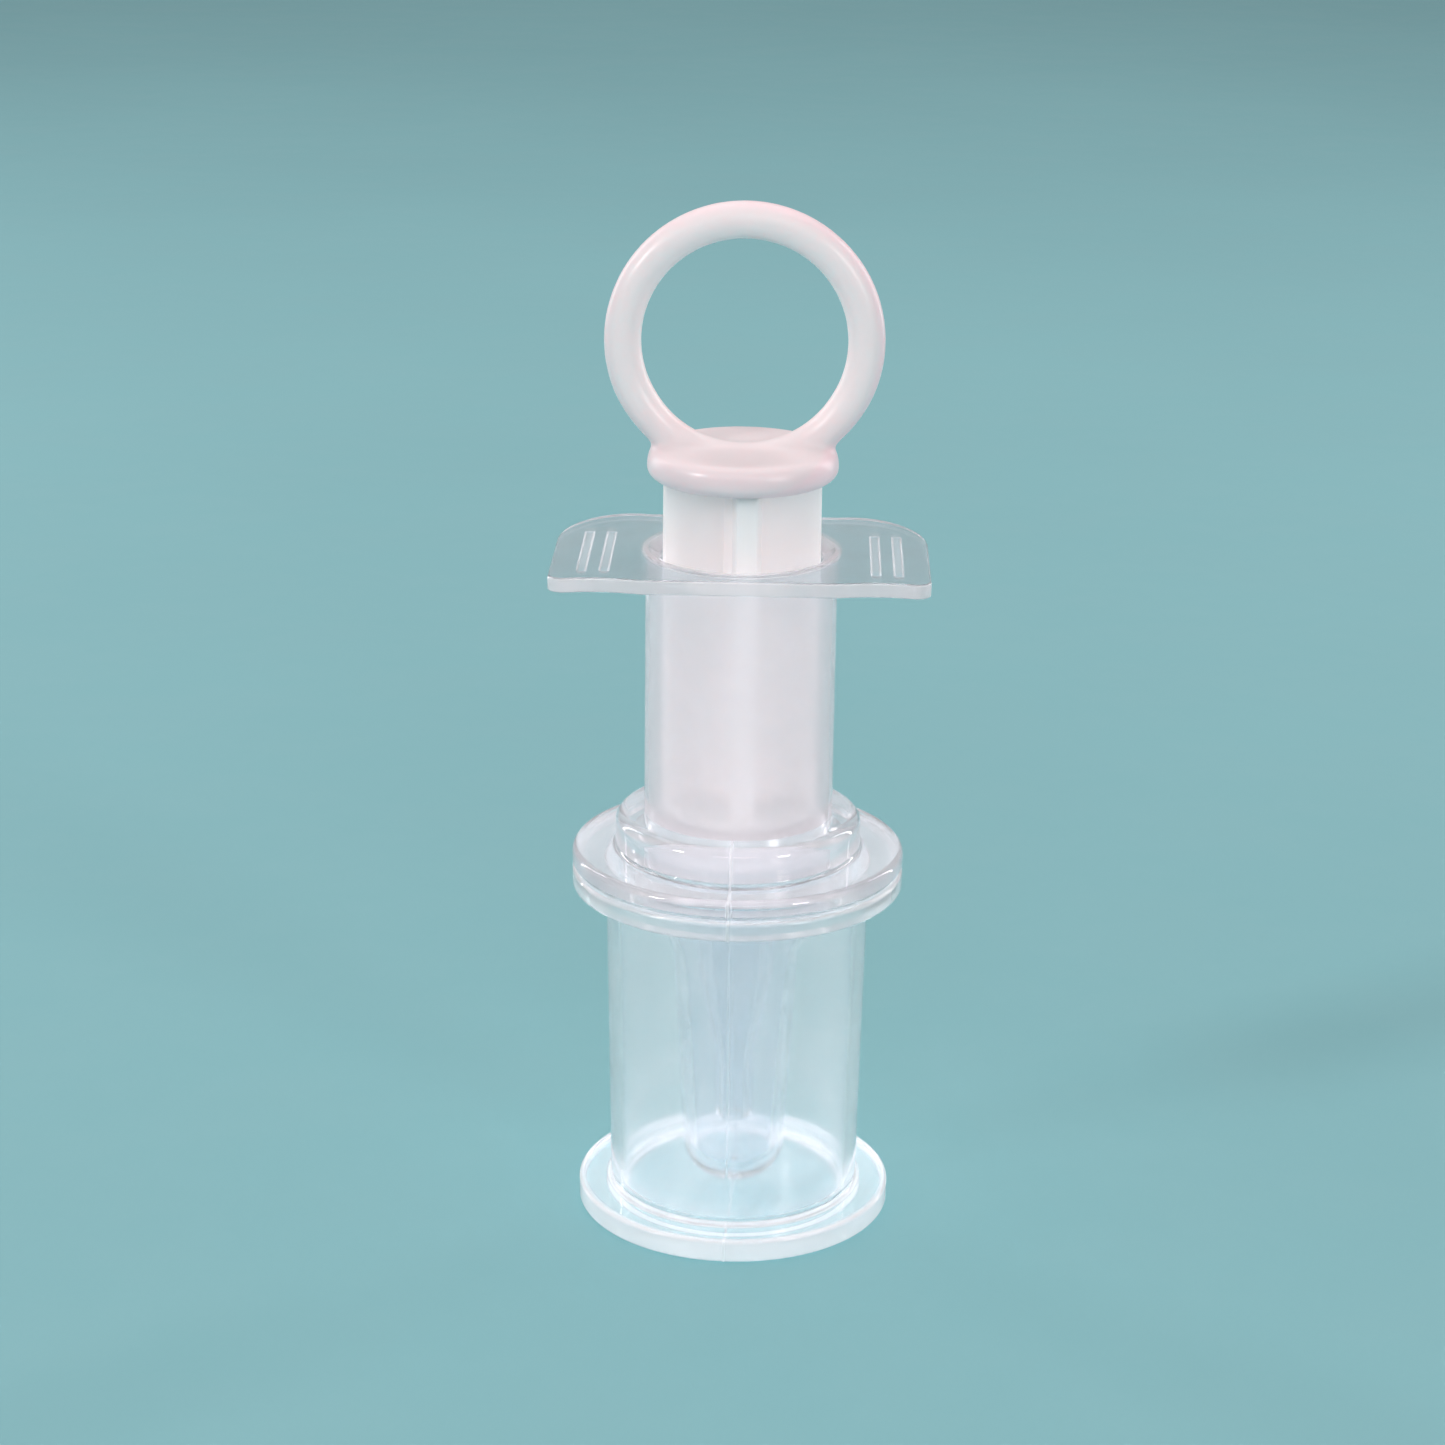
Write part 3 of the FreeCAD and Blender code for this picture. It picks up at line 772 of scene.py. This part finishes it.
def soften_join(obj):
    """Blend the ring into its cap, and round the cap's rim, by easing that stretch harder."""
    start, full, fade, end = 94.8 * MM, 96.0 * MM, 99.0 * MM, 104.0 * MM
    group = obj.vertex_groups.new(name="join")
    for vertex in obj.data.vertices:
        height = vertex.co.z
        rising = (height - start) / (full - start)
        falling = (end - height) / (end - fade)
        weight = rising if height < full else falling
        group.add([vertex.index], min(max(weight, 0.0), 1.0), "REPLACE")
    ease = obj.modifiers.new("soft join", "SMOOTH")
    ease.vertex_group = "join"
    ease.factor = 0.5
    ease.iterations = 90
    apply_modifiers(obj)


def make_torus():
    """The finger ring, upright over the cap."""
    bpy.ops.mesh.primitive_torus_add(
        major_segments=240, minor_segments=64, major_radius=RING_R, minor_radius=RING_TUBE_R,
        location=(0, 0, RING_CENTRE_Z), rotation=(math.pi / 2, 0, 0))
    torus = bpy.context.object
    bpy.ops.object.transform_apply(location=True, rotation=True, scale=True)
    return torus


def make_pull_ring():
    """The finger ring on its cap, melted into one skin, with the spigot's socket below."""
    cap_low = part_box("pull_ring")[0].z
    cap_top = 97.6 * MM
    bead_r = 11.45 * MM
    ring = lathe("ring_shell", eased([
        (0, cap_low, 0),
        (bead_r, cap_low, 1.65 * MM),
        (bead_r, cap_low + 1.8 * MM, 0.1 * MM),
        (11.25 * MM, cap_top, 1.4 * MM),
        (0, cap_top, 0),
    ]))
    combine(ring, make_torus(), "UNION")
    socket_r = 7.7 * MM
    socket_top = cap_low + 2.25 * MM
    below = cap_low - 1 * MM
    socket = lathe("socket", eased([
        (0, below, 0),
        (socket_r, below, 0),
        (socket_r, socket_top, 0),
        (0, socket_top, 0),
    ]))
    combine(ring, socket, "DIFFERENCE")
    remesh = ring.modifiers.new("one skin", "REMESH")
    remesh.mode = "VOXEL"
    remesh.voxel_size = 0.25 * MM
    ease = ring.modifiers.new("smooth skin", "SMOOTH")
    ease.factor = 0.5
    ease.iterations = 10
    apply_modifiers(ring)
    soften_join(ring)
    ring.data.shade_smooth()
    dress(ring, "plunger", "pull_ring", ring_plastic())


def dress_cad_nodes():
    """Give the rod and the seal, whose CAD shapes are right, their materials."""
    for node, material in (("plunger_rod", rod_plastic()), ("piston_seal", seal_silicone())):
        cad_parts[node].material_slots[0].material = material


# ---------------------------------------------------------------- stage

CAMERA_DISTANCE = 0.3909
CAMERA_HEIGHT = 0.1961
CAMERA_PITCH = math.radians(18.8)
CAMERA_AZIMUTH = math.radians(1.1)
CAMERA_PAN = math.radians(0.30)
CAMERA_ROLL = math.radians(0.71)
CAMERA_LENS = 84.7
FLOOR_GAP = 0.05 * MM
LAMP_COLOUR = (1.0, 0.92, 0.92)


def make_camera():
    """The camera, in front and a little above the ring, looking down at the middle."""
    camera_data = bpy.data.cameras.new("camera")
    camera_data.lens = CAMERA_LENS
    camera_data.sensor_width = 36.0
    camera_data.clip_start = 0.01
    camera_data.clip_end = 50.0
    camera = add_object("camera", camera_data)
    place = Vector((CAMERA_DISTANCE * math.sin(CAMERA_AZIMUTH),
                    -CAMERA_DISTANCE * math.cos(CAMERA_AZIMUTH), CAMERA_HEIGHT))
    aim = (Matrix.Rotation(CAMERA_AZIMUTH + CAMERA_PAN, 4, "Z")
           @ Matrix.Rotation(math.pi / 2 - CAMERA_PITCH, 4, "X")
           @ Matrix.Rotation(CAMERA_ROLL, 4, "Z"))
    camera.matrix_world = Matrix.Translation(place) @ aim
    bpy.context.scene.camera = camera


def make_floor():
    """A plain pale floor, a hair below the cup so that their faces don't coincide."""
    mesh = bpy.data.meshes.new("floor")
    bm = bmesh.new()
    bmesh.ops.create_circle(bm, cap_ends=True, radius=6.0, segments=96)
    bm.to_mesh(mesh)
    bm.free()
    floor = add_object("floor", mesh)
    floor.location.z = -FLOOR_GAP
    made = Recipe("floor_paper")
    made.set(
        Base_Color=made.tint(3, (0.2, 0.44, 0.47), (0.21, 0.46, 0.49)),
        Roughness=made.mottle(40, 0.75, 0.9),
    )
    mesh.materials.append(made.material)


def add_area_light(name, place, aim, size, power):
    """A soft lamp, not seen itself by the camera."""
    data = bpy.data.lights.new(name, "AREA")
    data.shape = "RECTANGLE"
    data.size, data.size_y = size
    data.energy = power
    data.color = LAMP_COLOUR
    light = add_object(name, data)
    light.visible_camera = False
    direction = Vector(aim) - Vector(place)
    light.matrix_world = (Matrix.Translation(place)
                          @ direction.to_track_quat("-Z", "Y").to_matrix().to_4x4())


def make_world():
    """Pale studio surroundings, whiter overhead."""
    world = bpy.data.worlds.new("studio")
    world.use_nodes = True
    nodes, links = world.node_tree.nodes, world.node_tree.links
    direction = nodes.new("ShaderNodeTexCoord").outputs["Generated"]
    split = nodes.new("ShaderNodeSeparateXYZ")
    links.new(direction, split.inputs[0])
    ramp = nodes.new("ShaderNodeValToRGB")
    horizon, overhead = ramp.color_ramp.elements
    horizon.color = (0.5, 0.62, 0.65, 1)
    horizon.position = 0.0
    overhead.color = (1.0, 0.93, 0.94, 1)
    overhead.position = 0.5
    links.new(split.outputs["Z"], ramp.inputs["Fac"])
    links.new(ramp.outputs["Color"], nodes["Background"].inputs["Color"])
    nodes["Background"].inputs["Strength"].default_value = 0.5
    bpy.context.scene.world = world


def make_lights():
    """A small key and fill, a low front strip, a large soft top and two rim strips."""
    middle = (0, 0, 0.07)
    add_area_light("key", (-0.95, -0.6, 0.65), middle, (0.18, 0.18), 5)
    add_area_light("fill", (0.8, -0.8, 0.45), middle, (0.25, 0.3), 3.8)
    add_area_light("front", (0.0, -1.1, 0.75), middle, (0.9, 0.12), 1.4)
    add_area_light("top", (0.0, 0.6, 1.3), (0, 0.3, 0), (1.6, 1.2), 6)
    add_area_light("rim_left", (-0.7, 0.55, 0.35), middle, (0.06, 0.7), 1.8)
    add_area_light("rim_right", (0.7, 0.55, 0.35), middle, (0.06, 0.7), 1.8)


def set_look():
    """Enough bounces for the light to get through the clear plastics."""
    scene = bpy.context.scene
    scene.view_settings.view_transform = "Standard"
    scene.cycles.max_bounces = 32
    scene.cycles.transmission_bounces = 32
    scene.cycles.transparent_max_bounces = 32
    scene.cycles.glossy_bounces = 12
    scene.cycles.diffuse_bounces = 8
    scene.cycles.sample_clamp_indirect = 8.0
    scene.cycles.blur_glossy = 0.05


def main():
    make_camera()
    make_cover_cup()
    make_nipple()
    make_barrel()
    make_pull_ring()
    dress_cad_nodes()
    make_floor()
    make_world()
    make_lights()
    set_look()


main()
